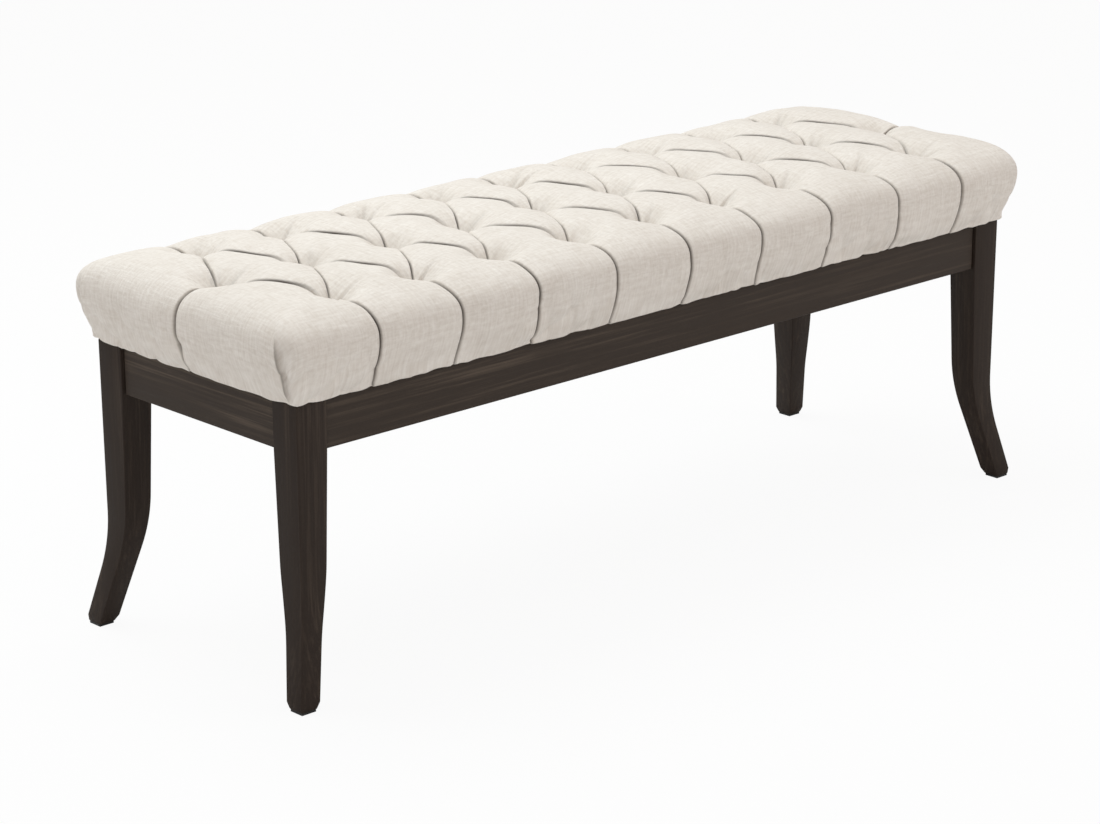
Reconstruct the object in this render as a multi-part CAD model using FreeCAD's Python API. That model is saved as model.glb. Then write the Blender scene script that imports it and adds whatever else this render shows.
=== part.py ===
import FreeCAD, Part
import math
import os

# An upholstered bench: a long padded seat with a tufted linen cover, on four
# sabre legs of dark stained wood joined by four rails. Lengths are millimetres,
# +X is the bench's length, the front is towards -Y, and the floor is at z = 0.

V = FreeCAD.Vector
UP = V(0, 0, 1)

# Padded seat: the outline at its foot, and how much its sides lean out to the widest line
seat_length = 1166.0
seat_width = 366.0
seat_base = 344.5
seat_height = 103.0
side_lean = 0.34
corner_radius = 24.0
shoulder_radius = 38.0
base_bevel = 6.0

# Tufting: the middle row has one tuft more than the rows in front and behind
middle_tufts = 10
end_margin = 47.0
row_offset = 120.0
fold_depth = 18.0
fold_reach = 46.0
fold_rim_angle = 9.0
tuft_depth = 36.0
tuft_radius = 5.0
tuft_mouth_radius = 34.0
tuft_mouth_rise = 3.0
tuft_gathers = 8
pleat_half_width = 30.0
pleat_rise = 15.0
pleat_sink = 9.0
pleat_foot_sink = 5.0
pleat_turns = (80, 45, 0)
corner_fold_depth = 3.0
corner_fold_spread = 0.33
corner_fold_height = 92.0

# Layers inside the cover. Its hem is folded under the board and past the rails.
hem_thickness = 2.5
hem_lap = 6.0
side_padding = 9.0
side_padding_taper = 0.09
top_padding = 4.0
board_thickness = 12.0
foam_hole_sides = 6
foam_hole_foot_radius = 12.0
sleeve_wall = 4.0
dimple_wall = 5.0
fit_gap = 0.3

# Twine that holds each tuft down, and the plate that it is tied to under the board
twine_radius = 0.8
twine_hole_radius = 3.0
tie_plate_size = 10.0
tie_plate_thickness = 1.5
dust_cover_thickness = 1.0
dust_cover_gap = 1.0

# Wooden frame, set back a little from the seat's foot
frame_end_setback = 7.0
frame_side_setback = 5.0
leg_width = 42.0
rail_height = 59.0
rail_thickness = 22.0
rail_setback = 4.0
rail_edge_radius = 3.5
cross_rail_thickness = 22.0
cross_rail_height = 40.0
cross_rail_spacing = 380.0

# Sabre leg, as offsets of its outer and inner faces from the upright they start on
foot_reach = 21.0
foot_width = 26.5
outer_knee_height = 102.0
outer_knee_in = 1.4
outer_knee_length = 36.0
inner_knee_height = 127.0
inner_knee_out = 4.9
inner_knee_length = 32.5
foot_chamfer_width = 2.5
foot_chamfer_height = 8.0
glide_thickness = 2.5
glide_setback = 1.0

# Corner blocks, and the bolts that hold the legs to them
leg_flat = 14.0
block_thickness = 25.0
block_height = 44.0
bolt_radius = 4.0
bolt_depth_in_leg = 24.0
bolt_proud = 14.0
washer_radius = 11.0
washer_thickness = 1.6
nut_across_flats = 13.0
nut_thickness = 6.5

# Wood screws that hold the seat down on the cross rails. Heads and shanks are six-sided.
screw_radius = 2.2
screw_across_flats = 8.0
screw_head_height = 3.5
screw_bite = 9.0
screw_spacing = 150.0

# How far a cutting shape runs past the face that it cuts
overrun = 1.0

# Heights and places that follow
seat_top = seat_base + seat_height
fold_height = seat_top - fold_depth
tuft_floor = seat_top - tuft_depth
tuft_flare = (tuft_mouth_radius - tuft_radius) / (tuft_depth + tuft_mouth_rise)
board_base = seat_base + hem_thickness
foam_base = board_base + board_thickness
foam_top = fold_height - top_padding
frame_length = seat_length - 2 * frame_end_setback
frame_width = seat_width - 2 * frame_side_setback
rail_base = seat_base - rail_height
inner_top = seat_base - dust_cover_thickness
block_base = inner_top - block_height
rail_inset = rail_setback + rail_thickness
inner_half_length = frame_length / 2 - rail_inset
inner_half_width = frame_width / 2 - rail_inset
pitch = (seat_length - 2 * end_margin) / (middle_tufts - 1)
middle_row = [V((k - (middle_tufts - 1) / 2) * pitch, 0, 0) for k in range(middle_tufts)]
side_rows = {
    side: [point + V(pitch / 2, side * row_offset, 0) for point in middle_row[:-1]] for side in (-1, 1)
}
all_tufts = middle_row + side_rows[-1] + side_rows[1]
corners = {
    "front_left": (-1, -1),
    "front_right": (1, -1),
    "back_left": (-1, 1),
    "back_right": (1, 1),
}


def line(start, end):
    return Part.LineSegment(start, end).toShape()


def arc(start, middle, end):
    return Part.Arc(start, middle, end).toShape()


def polygon_face(points):
    return Part.Face(Part.makePolygon(list(points) + [points[0]]))


def closed_solid(faces):
    """A solid from faces that close a space, turned so that its volume is positive."""
    shell = Part.Compound(faces)
    shell.sewShape(0.001)
    solid = Part.Solid(shell.Shells[0])
    if solid.Volume < 0:
        solid.reverse()
    return solid


def prism(centre, radius, sides, run):
    """A many-sided bar from centre along the vector run, measured to its edges."""
    along = V(run).normalize()
    across = V(1, 0, 0) if abs(along.z) > 0.5 else UP
    turns = [2 * math.pi * k / sides for k in range(sides)]
    ring = [centre + (across * math.cos(t) + along.cross(across) * math.sin(t)) * radius for t in turns]
    return polygon_face(ring).extrude(run)


def frustum(centre, sides, low_radius, high_radius, low, high):
    """A many-sided tapered plug on an upright axis."""
    def ring(radius, height):
        turns = [2 * math.pi * (k + 0.5) / sides for k in range(sides)]
        return [V(centre.x + radius * math.cos(t), centre.y + radius * math.sin(t), height) for t in turns]

    below, above = ring(low_radius, low), ring(high_radius, high)
    faces = [polygon_face(below), polygon_face(above)]
    for k in range(sides):
        following = (k + 1) % sides
        faces.append(polygon_face([below[k], below[following], above[following], above[k]]))
    return closed_solid(faces)


def rounded_outline(half_x, half_y, radius, height):
    """A flat face with four straight sides and four quarter-round corners."""
    edges = []
    cut = radius * (1 - math.sqrt(0.5))
    arcs = []
    for sx, sy in ((1, 1), (-1, 1), (-1, -1), (1, -1)):
        on_x = V(sx * half_x, sy * (half_y - radius), height)
        on_y = V(sx * (half_x - radius), sy * half_y, height)
        middle = V(sx * (half_x - cut), sy * (half_y - cut), height)
        arcs.append((on_x, middle, on_y) if sx == sy else (on_y, middle, on_x))
    for k, (start, middle, end) in enumerate(arcs):
        edges.append(arc(start, middle, end))
        edges.append(line(end, arcs[(k + 1) % 4][0]))
    return Part.Face(Part.Wire(edges))


def make_seat_block():
    """The seat before tufting: sides that lean out, a round shoulder and a bevel at the foot."""
    grow = side_lean * seat_height
    slope = math.atan(side_lean)
    shoulder_run = shoulder_radius / math.tan((math.pi / 2 - slope) / 2)
    low_radius = corner_radius - base_bevel
    high_radius = corner_radius + grow - shoulder_run

    def rim_profile(axis, outward):
        def place(out, height):
            return axis + outward * out + UP * height

        side_low = place(corner_radius + side_lean * base_bevel, base_bevel)
        side_high = place(
            corner_radius + grow - shoulder_run * math.sin(slope),
            seat_height - shoulder_run * math.cos(slope),
        )
        centre = place(high_radius, seat_height - shoulder_radius)
        middle = centre + (place(corner_radius + grow, seat_height) - centre).normalize() * shoulder_radius
        return [
            line(place(low_radius, 0), side_low),
            line(side_low, side_high),
            arc(side_high, middle, place(high_radius, seat_height)),
        ]

    half_x, half_y = seat_length / 2 - corner_radius, seat_width / 2 - corner_radius
    faces = [
        rounded_outline(half_x + low_radius, half_y + low_radius, low_radius, seat_base),
        rounded_outline(half_x + high_radius, half_y + high_radius, high_radius, seat_top),
    ]
    turning = [(1, 1), (-1, 1), (-1, -1), (1, -1)]
    for k, (sx, sy) in enumerate(turning):
        axis = V(sx * half_x, sy * half_y, seat_base)
        following = V(turning[(k + 1) % 4][0] * half_x, turning[(k + 1) % 4][1] * half_y, seat_base)
        start = V(1, 0, 0) if sx == sy else V(0, 1, 0)
        start = start * (sx if sx == sy else sy)
        end = UP.cross(start)
        faces += [edge.revolve(axis, UP, 90).Faces[0] for edge in rim_profile(axis, start)]
        faces += [edge.extrude(following - axis).Faces[0] for edge in rim_profile(axis, end)]
    return closed_solid(faces)


def arc_to_rim(bottom, rim, rim_angle):
    """The middle of the arc that climbs from bottom to rim and meets the rim at rim_angle."""
    run, rise = rim[0] - bottom[0], rim[1] - bottom[1]
    slope = math.atan2(rise, abs(run))
    bulge = 0.5 * math.hypot(run, rise) * math.tan((slope - math.radians(rim_angle)) / 2)
    outward = 1 if run > 0 else -1
    return (
        (bottom[0] + rim[0]) / 2 - outward * math.sin(slope) * bulge,
        (bottom[1] + rim[1]) / 2 + math.cos(slope) * bulge,
    )


def fold_tool(start, end):
    """What one straight diagonal fold takes away: the space above two convex pillow flanks."""
    along = (end - start).normalize()
    across = UP.cross(along)
    origin = V(start.x, start.y, fold_height)
    rim_height = fold_depth + overrun
    lid_height = rim_height + fold_reach

    def place(point):
        return origin + across * point[0] + UP * point[1]

    flanks = []
    for side in (-1, 1):
        rim = (side * fold_reach, rim_height)
        flanks.append((place(rim), place(arc_to_rim((0, 0), rim, fold_rim_angle))))
    (left, left_middle), (right, right_middle) = flanks
    lid_left, lid_right = place((-fold_reach, lid_height)), place((fold_reach, lid_height))
    outline = [
        arc(left, left_middle, origin),
        arc(origin, right_middle, right),
        line(right, lid_right),
        line(lid_right, lid_left),
        line(lid_left, left),
    ]
    return Part.Face(Part.Wire(outline)).extrude(end - start)


def pleat_tool(path, across):
    """A V-shaped crease along a bent path, mitred at each bend and open on the outside."""
    normals = [across.cross(after - before).normalize() for before, after in zip(path, path[1:])]
    rings = []
    for k, point in enumerate(path):
        before, after = normals[max(k - 1, 0)], normals[min(k, len(normals) - 1)]
        mitre = (before + after).normalize()
        mouth = point + mitre * (pleat_rise / mitre.dot(after))
        rings.append([point, mouth + across * pleat_half_width, mouth - across * pleat_half_width])
    faces = [polygon_face(rings[0]), polygon_face(rings[-1])]
    for first, second in zip(rings, rings[1:]):
        for k in range(3):
            following = (k + 1) % 3
            faces.append(polygon_face([first[k], first[following], second[following], second[k]]))
    return closed_solid(faces)


def pleat_path(tuft, toward, reach):
    """From a tuft over the shoulder and down the side. reach is the seat's half size at its foot."""
    grow = side_lean * seat_height
    slope = math.atan(side_lean)
    centre_out = reach + grow - shoulder_radius / math.tan((math.pi / 2 - slope) / 2)
    steps = [
        (
            centre_out + (shoulder_radius - pleat_sink) * math.cos(math.radians(turn)),
            seat_top - shoulder_radius + (shoulder_radius - pleat_sink) * math.sin(math.radians(turn)),
        )
        for turn in pleat_turns
    ]
    steps.append((reach - pleat_foot_sink - side_lean * base_bevel, seat_base - base_bevel))
    level = V(tuft.x, tuft.y, 0) - toward * tuft.dot(toward)
    return [V(tuft.x, tuft.y, fold_height)] + [level + toward * out + UP * height for out, height in steps]


def corner_fold_tool(sx, sy):
    """The tucked fold that runs down one upright corner of the cover."""
    axis = V(sx * (seat_length / 2 - corner_radius), sy * (seat_width / 2 - corner_radius), seat_base)
    outward = V(sx, sy, 0).normalize()
    root = axis + outward * (corner_radius - corner_fold_depth)
    mouth = root + outward * shoulder_radius
    half_mouth = UP.cross(outward) * (shoulder_radius * corner_fold_spread)
    outline = polygon_face([root, mouth + half_mouth, mouth - half_mouth])
    return outline.extrude((UP + outward * side_lean) * corner_fold_height)


def make_tufted_form():
    """The outside of the padded seat: a leaning block with soft edges, then its folds and tufts."""
    form = make_seat_block()
    folds = []
    for side in (-1, 1):
        near, far = side_rows[-side], side_rows[side]
        folds += [fold_tool(start, end) for start, end in zip(near, far[1:])]
        folds.append(fold_tool(middle_row[0], far[0]))
        folds.append(fold_tool(near[-1], middle_row[-1]))
    dimples = [
        frustum(tuft, tuft_gathers, tuft_radius, tuft_mouth_radius, tuft_floor, seat_top + tuft_mouth_rise)
        for tuft in all_tufts
    ]
    pleats = []
    for side in (-1, 1):
        toward = V(0, side, 0)
        for tuft in side_rows[side]:
            pleats.append(pleat_tool(pleat_path(tuft, toward, seat_width / 2), toward.cross(UP)))
        toward = V(side, 0, 0)
        tuft = middle_row[0] if side < 0 else middle_row[-1]
        pleats.append(pleat_tool(pleat_path(tuft, toward, seat_length / 2), toward.cross(UP)))
    corner_folds = [corner_fold_tool(sx, sy) for sx, sy in corners.values()]
    form = form.cut(folds)
    form = form.cut(dimples)
    form = form.cut(pleats)
    return form.cut(corner_folds)


def box_between(low, high):
    return Part.makeBox(high.x - low.x, high.y - low.y, high.z - low.z, low)


def centred_box(half_x, half_y, low, high):
    return box_between(V(-half_x, -half_y, low), V(half_x, half_y, high))


def padding_half_sizes(height, clearance):
    """Half the length and width of the space inside the cover at a height, less a clearance."""
    inwards = side_padding + side_padding_taper * (height - board_base) + clearance
    return seat_length / 2 - inwards, seat_width / 2 - inwards


def padding_block(clearance, low, high):
    """The tapered block that fills the cover, less a clearance all round."""
    rings = []
    for height in (low, high):
        x, y = padding_half_sizes(height, clearance)
        rings.append([V(sx * x, sy * y, height) for sx, sy in ((1, 1), (-1, 1), (-1, -1), (1, -1))])
    below, above = rings
    faces = [polygon_face(below), polygon_face(above)]
    for k in range(4):
        following = (k + 1) % 4
        faces.append(polygon_face([below[k], below[following], above[following], above[k]]))
    return closed_solid(faces)


def plug(tuft, foot_radius, clearance, low):
    """What fills the foam's hole at a tuft, from low up to the foam's top, less a clearance."""
    hole_radius = tuft_radius + tuft_flare * (foam_top - tuft_floor) + sleeve_wall
    return frustum(tuft, foam_hole_sides, foot_radius, hole_radius - clearance, low, foam_top)


def make_seat_cover():
    """The tufted linen with its padding: hemmed below, and with a sleeve down to each tuft."""
    sleeves = [plug(tuft, tuft_radius + sleeve_wall, fit_gap, tuft_floor - dimple_wall) for tuft in all_tufts]
    inside = padding_block(0.0, board_base, foam_top).cut(sleeves)
    opening = centred_box(inner_half_length - hem_lap, inner_half_width - hem_lap, seat_base - overrun, board_base)
    return make_tufted_form().cut(inside).cut(opening)


def make_foam_pad():
    slab = padding_block(fit_gap, foam_base, foam_top - fit_gap)
    return slab.cut([plug(tuft, foam_hole_foot_radius, 0.0, foam_base - overrun) for tuft in all_tufts])


def make_seat_board(screws):
    half_x, half_y = padding_half_sizes(foam_base, fit_gap)
    board = centred_box(half_x, half_y, board_base, foam_base)
    below, through = UP * (board_base - overrun), UP * (board_thickness + 2 * overrun)
    return board.cut([prism(tuft + below, twine_hole_radius, 6, through) for tuft in all_tufts] + screws)


def make_tufting_twine():
    length = tuft_floor - dimple_wall - board_base
    return Part.Compound([prism(tuft + UP * board_base, twine_radius, 6, UP * length) for tuft in all_tufts])


def make_twine_plates():
    half = tie_plate_size / 2
    reach = V(half, half, 0)
    base = UP * (board_base - tie_plate_thickness)
    return Part.Compound([box_between(t - reach + base, t + reach + UP * board_base) for t in all_tufts])


def corner_point(sx, sy):
    """The inner upright edge of a leg, before its flat."""
    return V(sx * (frame_length / 2 - leg_width), sy * (frame_width / 2 - leg_width), 0)


def screw_places(height):
    xs, ys = cross_rail_spacing / 2, screw_spacing / 2
    return [V(sx * xs, sy * ys, height) for sx in (-1, 1) for sy in (-1, 1)]


def make_dust_cover():
    """Black cloth under the seat, with its corners cut off beside the legs."""
    x, y = inner_half_length - dust_cover_gap, inner_half_width - dust_cover_gap
    inner = corner_point(1, 1)
    limit = inner.x + inner.y + leg_flat - dust_cover_gap
    outline = []
    for sx, sy in ((1, 1), (-1, 1), (-1, -1), (1, -1)):
        beside_end, beside_front = V(sx * x, sy * (limit - x), inner_top), V(sx * (limit - y), sy * y, inner_top)
        outline += [beside_end, beside_front] if sx == sy else [beside_front, beside_end]
    run = UP * (dust_cover_thickness + 2 * overrun)
    hole_radius = screw_radius + fit_gap / math.cos(math.pi / 6)
    holes = [prism(place, hole_radius, 6, run) for place in screw_places(inner_top - overrun)]
    return polygon_face(outline).extrude(UP * dust_cover_thickness).cut(holes)


def knee(before, corner, after, length):
    """The arc that rounds a bend in a leg's outline, length long on each side of the corner."""
    toward_before, toward_after = (before - corner).normalize(), (after - corner).normalize()
    turn = math.pi - toward_before.getAngle(toward_after)
    radius = length / math.tan(turn / 2)
    middle = corner + (toward_before + toward_after).normalize() * (radius / math.cos(turn / 2) - radius)
    return corner + toward_before * length, middle, corner + toward_after * length


def on_line(start, end, height):
    return start + (end - start) * ((height - start.z) / (end.z - start.z))


def leg_outline(origin, outward):
    """The leg seen along one axis: its outer and inner faces, each with one soft knee."""
    def place(out, height):
        return origin + outward * out + UP * height

    outer_knee, inner_knee = place(-outer_knee_in, outer_knee_height), place(inner_knee_out - leg_width, inner_knee_height)
    outer_foot, inner_foot = place(foot_reach, 0), place(foot_reach - foot_width, 0)
    outer_bend = knee(place(0, seat_base), outer_knee, outer_foot, outer_knee_length)
    inner_bend = knee(place(-leg_width, rail_base), inner_knee, inner_foot, inner_knee_length)
    chamfer_top = glide_thickness + foot_chamfer_height
    outer_low, inner_low = on_line(outer_knee, outer_foot, chamfer_top), on_line(inner_knee, inner_foot, chamfer_top)
    outer_sole = on_line(outer_knee, outer_foot, glide_thickness) - outward * foot_chamfer_width
    inner_sole = on_line(inner_knee, inner_foot, glide_thickness) + outward * foot_chamfer_width
    edges = [
        line(place(0, seat_base), outer_bend[0]),
        arc(*outer_bend),
        line(outer_bend[2], outer_low),
        line(outer_low, outer_sole),
        line(outer_sole, inner_sole),
        line(inner_sole, inner_low),
        line(inner_low, inner_bend[2]),
        arc(*reversed(inner_bend)),
        line(inner_bend[0], place(-leg_width, rail_base)),
        line(place(-leg_width, rail_base), place(-leg_width, seat_base)),
        line(place(-leg_width, seat_base), place(0, seat_base)),
    ]
    return Part.Face(Part.Wire(edges)), outer_sole, inner_sole


def make_leg(sx, sy, bolt):
    """A sabre leg that curves out both ways, with a flat on its inner edge for the corner block."""
    reach = leg_width + 2 * foot_reach
    outer = V(sx * frame_length / 2, sy * frame_width / 2, 0)
    side_view = leg_outline(V(outer.x, outer.y - sy * reach, 0), V(sx, 0, 0))[0].extrude(V(0, sy * 2 * reach, 0))
    end_view = leg_outline(V(outer.x - sx * reach, outer.y, 0), V(0, sy, 0))[0].extrude(V(sx * 2 * reach, 0, 0))
    leg = side_view.common(end_view)
    inner = corner_point(sx, sy)
    flat = polygon_face(
        [
            inner + V(2 * leg_flat * sx, -leg_flat * sy, block_base),
            inner + V(-leg_flat * sx, 2 * leg_flat * sy, block_base),
            inner + V(-leg_flat * sx, -leg_flat * sy, block_base),
        ]
    ).extrude(UP * (seat_base - block_base + overrun))
    return leg.cut(flat).cut(bolt).Solids[0]


def make_glide(sx, sy):
    """The thin pad under a foot, a little smaller than the foot's sole."""
    _, outer, inner = leg_outline(V(0, 0, 0), V(1, 0, 0))
    size = outer.x - inner.x - 2 * glide_setback
    centre = (outer.x + inner.x) / 2
    middle = V(sx * (frame_length / 2 + centre), sy * (frame_width / 2 + centre), 0)
    half = V(size / 2, size / 2, 0)
    return box_between(middle - half, middle + half + UP * glide_thickness)


def make_rail(low, high, outward):
    """A rail whose four outer edges are rounded all round its face."""
    rail = box_between(low, high)
    face = max(rail.Faces, key=lambda item: item.CenterOfMass.dot(outward))
    return rail.makeFillet(rail_edge_radius, face.Edges)


def make_rails():
    inner = corner_point(1, 1)
    rails = {}
    for name, side in (("front_rail", -1), ("back_rail", 1)):
        ys = sorted([side * inner_half_width, side * (inner_half_width + rail_thickness)])
        rails[name] = make_rail(V(-inner.x, ys[0], rail_base), V(inner.x, ys[1], seat_base), V(0, side, 0))
    for name, side in (("left_rail", -1), ("right_rail", 1)):
        xs = sorted([side * inner_half_length, side * (inner_half_length + rail_thickness)])
        rails[name] = make_rail(V(xs[0], -inner.y, rail_base), V(xs[1], inner.y, seat_base), V(side, 0, 0))
    return rails


def make_cross_rail(side, screws):
    """A rail from front to back under the seat. The seat's screws come up through it."""
    centre = side * cross_rail_spacing / 2
    low = V(centre - cross_rail_thickness / 2, -inner_half_width, inner_top - cross_rail_height)
    high = V(centre + cross_rail_thickness / 2, inner_half_width, inner_top)
    return box_between(low, high).cut(screws)


def make_corner_block(sx, sy, bolt):
    """A hardwood block set across a corner: on the leg's flat and both rails."""
    inner = corner_point(1, 1)
    near_leg = inner.x + inner.y + leg_flat
    away = near_leg - block_thickness * math.sqrt(2)
    x, y = inner_half_length, inner_half_width
    outline = [(near_leg - y, y), (x, near_leg - x), (x, away - x), (away - y, y)]
    face = polygon_face([V(sx * px, sy * py, block_base) for px, py in outline])
    return face.extrude(UP * block_height).cut(bolt)


def bolt_axis(sx, sy):
    """Where a bolt crosses a leg's flat, and its direction into the leg."""
    middle = corner_point(sx, sy) + V(sx, sy, 0) * (leg_flat / 2)
    return middle + UP * (block_base + block_height / 2), V(sx, sy, 0).normalize()


def make_bolt(sx, sy):
    crossing, inwards = bolt_axis(sx, sy)
    length = bolt_depth_in_leg + block_thickness + bolt_proud
    return Part.makeCylinder(bolt_radius, length, crossing + inwards * bolt_depth_in_leg, inwards * -1)


def make_washer(sx, sy):
    crossing, inwards = bolt_axis(sx, sy)
    disc = Part.makeCylinder(washer_radius, washer_thickness, crossing - inwards * block_thickness, inwards * -1)
    return disc.cut(make_bolt(sx, sy))


def make_nut(sx, sy):
    crossing, inwards = bolt_axis(sx, sy)
    seat = crossing - inwards * (block_thickness + washer_thickness)
    return prism(seat, nut_across_flats / math.sqrt(3), 6, inwards * -nut_thickness).cut(make_bolt(sx, sy))


def make_seat_screws():
    """Two screws up through each cross rail and into the board, with their heads under the rail."""
    base = inner_top - cross_rail_height
    length = board_base + screw_bite - base + screw_head_height
    screws = []
    for place in screw_places(base - screw_head_height):
        head = prism(place, screw_across_flats / math.sqrt(3), 6, UP * screw_head_height)
        screws.append(head.fuse(prism(place, screw_radius, 6, UP * length)).removeSplitter())
    return screws


def build():
    """Every piece of the bench by its name."""
    bolts = {name: make_bolt(sx, sy) for name, (sx, sy) in corners.items()}
    screws = make_seat_screws()
    pieces = {
        "seat_cover": make_seat_cover(),
        "foam_pad": make_foam_pad(),
        "seat_board": make_seat_board(screws),
        "tufting_twine": make_tufting_twine(),
        "twine_plates": make_twine_plates(),
        "dust_cover": make_dust_cover(),
        "left_cross_rail": make_cross_rail(-1, screws),
        "right_cross_rail": make_cross_rail(1, screws),
        "hanger_bolts": Part.Compound(list(bolts.values())),
        "bolt_washers": Part.Compound([make_washer(sx, sy) for sx, sy in corners.values()]),
        "bolt_nuts": Part.Compound([make_nut(sx, sy) for sx, sy in corners.values()]),
        "seat_screws": Part.Compound(screws),
    }
    pieces.update(make_rails())
    for name, (sx, sy) in corners.items():
        pieces[name + "_leg"] = make_leg(sx, sy, bolts[name])
        pieces[name + "_glide"] = make_glide(sx, sy)
        pieces[name + "_block"] = make_corner_block(sx, sy, bolts[name])
    return pieces


os.makedirs("parts", exist_ok=True)
for name, shape in build().items():
    shape.exportStep(f"parts/{name}.step")
    print(name, "solids", len(shape.Solids), "faces", len(shape.Faces), "valid", shape.isValid())
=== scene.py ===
import math

import bmesh
import bpy
import numpy as np
from mathutils import Matrix, Vector


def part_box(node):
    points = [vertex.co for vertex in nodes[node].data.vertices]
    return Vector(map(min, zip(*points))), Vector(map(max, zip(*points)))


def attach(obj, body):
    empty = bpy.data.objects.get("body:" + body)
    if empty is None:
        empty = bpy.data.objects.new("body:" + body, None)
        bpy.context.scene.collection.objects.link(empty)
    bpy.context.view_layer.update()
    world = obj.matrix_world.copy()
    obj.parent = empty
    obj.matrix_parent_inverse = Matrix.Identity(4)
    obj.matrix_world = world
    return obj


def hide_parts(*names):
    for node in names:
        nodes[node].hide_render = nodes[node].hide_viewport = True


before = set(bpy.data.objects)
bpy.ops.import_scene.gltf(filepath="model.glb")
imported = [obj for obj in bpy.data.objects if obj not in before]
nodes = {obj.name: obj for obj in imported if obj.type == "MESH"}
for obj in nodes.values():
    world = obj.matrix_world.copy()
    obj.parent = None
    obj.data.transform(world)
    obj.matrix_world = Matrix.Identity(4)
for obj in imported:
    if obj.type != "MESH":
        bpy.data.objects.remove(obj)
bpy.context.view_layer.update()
bpy.context.scene.view_settings.view_transform = "Standard"


# Camera: a long lens from the bench's front left, a little above the seat, as in the photograph.
# Its place and turn were solved from the four feet, the seat's corners and the grid of tufts.
camera_data = bpy.data.cameras.new("camera")
camera_data.sensor_width = 36.0
camera_data.lens = 111.89
camera_place = (-2.7367, -2.8894, 1.4294)
camera = bpy.data.objects.new("camera", camera_data)
camera_yaw, camera_pitch, camera_roll = 0.7505, 0.3061, -0.0039
ahead = Vector((
    math.sin(camera_yaw) * math.cos(camera_pitch),
    math.cos(camera_yaw) * math.cos(camera_pitch),
    -math.sin(camera_pitch),
))
level = Vector((math.cos(camera_yaw), -math.sin(camera_yaw), 0.0))
above = level.cross(ahead)
right = level * math.cos(camera_roll) + above * math.sin(camera_roll)
above = above * math.cos(camera_roll) - level * math.sin(camera_roll)
camera_turn = Matrix((right, above, -ahead)).transposed().to_4x4()
camera.matrix_world = Matrix.Translation(camera_place) @ camera_turn
bpy.context.scene.collection.objects.link(camera)
bpy.context.scene.camera = camera


# Stage: a wide white floor that keeps only the soft shadow under the feet, and a pale room.
# The room's own light is even, and two large soft lamps give the seat its shape.
floor_reach, floor_grey, floor_glow_share = 40, 0.86, 0.93
room_light_low, room_light_seen = 0.6, 1.0
lamp_target = Vector((0, 0, 0.35))
floor_corners = [(x * floor_reach, y * floor_reach, 0) for x, y in ((-1, -1), (1, -1), (1, 1), (-1, 1))]
floor_mesh = bpy.data.meshes.new("floor")
floor_mesh.from_pydata(floor_corners, [], [(0, 1, 2, 3)])
floor = bpy.data.objects.new("floor", floor_mesh)
bpy.context.scene.collection.objects.link(floor)
floor_paint = bpy.data.materials.new("floor_white")
floor_paint.use_nodes = True
floor_nodes, floor_links = floor_paint.node_tree.nodes, floor_paint.node_tree.links
floor_nodes.clear()
floor_out = floor_nodes.new("ShaderNodeOutputMaterial")
floor_mix = floor_nodes.new("ShaderNodeMixShader")
floor_matte = floor_nodes.new("ShaderNodeBsdfDiffuse")
floor_matte.inputs["Color"].default_value = (floor_grey, floor_grey, floor_grey, 1)
floor_glow = floor_nodes.new("ShaderNodeEmission")
floor_glow.inputs["Strength"].default_value = 1.0
floor_rays = floor_nodes.new("ShaderNodeLightPath")
floor_share = floor_nodes.new("ShaderNodeMath")
floor_share.operation = "MULTIPLY"
floor_share.inputs[1].default_value = floor_glow_share
floor_links.new(floor_rays.outputs["Is Camera Ray"], floor_share.inputs[0])
floor_links.new(floor_share.outputs[0], floor_mix.inputs["Fac"])
floor_links.new(floor_matte.outputs[0], floor_mix.inputs[1])
floor_links.new(floor_glow.outputs[0], floor_mix.inputs[2])
floor_links.new(floor_mix.outputs[0], floor_out.inputs["Surface"])
floor_mesh.materials.append(floor_paint)

room = bpy.data.worlds.new("room")
room.use_nodes = True
room_nodes, room_links = room.node_tree.nodes, room.node_tree.links
room_nodes.clear()
room_out = room_nodes.new("ShaderNodeOutputWorld")
room_light = room_nodes.new("ShaderNodeBackground")
room_light.inputs["Color"].default_value = (1.0, 0.96, 0.935, 1)
room_rays = room_nodes.new("ShaderNodeLightPath")
room_strength = room_nodes.new("ShaderNodeMapRange")
room_strength.inputs["To Min"].default_value = room_light_low
room_strength.inputs["To Max"].default_value = room_light_seen
room_links.new(room_rays.outputs["Is Camera Ray"], room_strength.inputs["Value"])
room_links.new(room_strength.outputs["Result"], room_light.inputs["Strength"])
room_links.new(room_light.outputs[0], room_out.inputs["Surface"])
bpy.context.scene.world = room

for lamp_name, lamp_place, lamp_size, lamp_power, lamp_colour in (
    ("lamp_above", (-0.4, 0.9, 2.6), 1.8, 39.0, (0.9, 0.98, 1.0)),
    ("lamp_front_right", (2.2, -2.6, 1.9), 1.8, 13.0, (1.0, 0.97, 0.95)),
):
    lamp_data = bpy.data.lights.new(lamp_name, "AREA")
    lamp_data.size = lamp_size
    lamp_data.energy = lamp_power
    lamp_data.color = lamp_colour
    lamp = bpy.data.objects.new(lamp_name, lamp_data)
    lamp.location = lamp_place
    lamp.rotation_euler = (lamp_target - Vector(lamp_place)).to_track_quat("-Z", "Y").to_euler()
    bpy.context.scene.collection.objects.link(lamp)


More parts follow.
